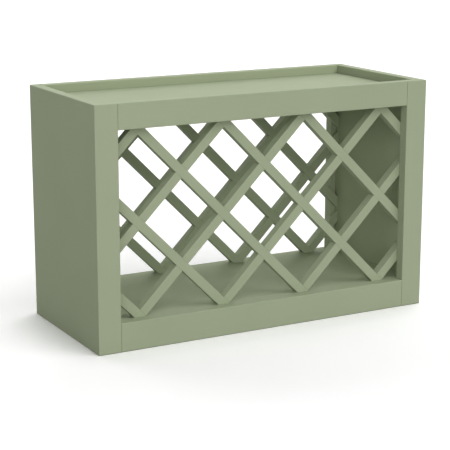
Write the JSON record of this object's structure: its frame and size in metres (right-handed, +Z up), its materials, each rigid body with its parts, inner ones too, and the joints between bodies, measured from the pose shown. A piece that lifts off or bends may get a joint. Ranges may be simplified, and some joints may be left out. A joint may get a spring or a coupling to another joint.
{
  "type": "wine rack cabinet",
  "caption": "Open cabinet with a face frame, a shallow tray top and crossed-strip lattices at front and back that hold bottles in diamond-shaped cells.",
  "frame": {"origin": "middle of the footprint, on the floor", "axes": "+X to the right as seen from the front, +Y from the front to the back, +Z up"},
  "size_m": [0.7112, 0.309, 0.4572],
  "materials": {
    "sage_paint": "sage green paint, a soft satin, over sanded wood",
    "dowel_wood": "bare beech, sanded",
    "zinc_steel": "bright zinc plate"
  },
  "bodies": {
    "root": {"left_side_panel": "sage_paint", "right_side_panel": "sage_paint", "top_panel": "sage_paint", "lower_deck": "sage_paint", "hanging_rail": "sage_paint", "lower_back_rail": "sage_paint", "left_rear_cleat": "sage_paint", "right_rear_cleat": "sage_paint", "left_stile": "sage_paint", "right_stile": "sage_paint", "top_frame_rail": "sage_paint", "bottom_frame_rail": "sage_paint", "front_rising_strip_1": "sage_paint", "front_rising_strip_2": "sage_paint", "front_rising_strip_3": "sage_paint", "front_rising_strip_4": "sage_paint", "front_rising_strip_5": "sage_paint", "front_rising_strip_6": "sage_paint", "front_falling_strip_1": "sage_paint", "front_falling_strip_2": "sage_paint", "front_falling_strip_3": "sage_paint", "front_falling_strip_4": "sage_paint", "front_falling_strip_5": "sage_paint", "front_falling_strip_6": "sage_paint", "back_rising_strip_1": "sage_paint", "back_rising_strip_2": "sage_paint", "back_rising_strip_3": "sage_paint", "back_rising_strip_4": "sage_paint", "back_rising_strip_5": "sage_paint", "back_rising_strip_6": "sage_paint", "back_falling_strip_1": "sage_paint", "back_falling_strip_2": "sage_paint", "back_falling_strip_3": "sage_paint", "back_falling_strip_4": "sage_paint", "back_falling_strip_5": "sage_paint", "back_falling_strip_6": "sage_paint", "face_frame_dowels": "dowel_wood", "back_rail_dowels": "dowel_wood", "stile_dowels": "dowel_wood", "top_panel_dowels": "dowel_wood", "deck_dowels": "dowel_wood", "front_lattice_screws": "zinc_steel", "back_lattice_screws": "zinc_steel", "front_lattice_brads": "zinc_steel", "back_lattice_brads": "zinc_steel"}
  },
  "joints": []
}
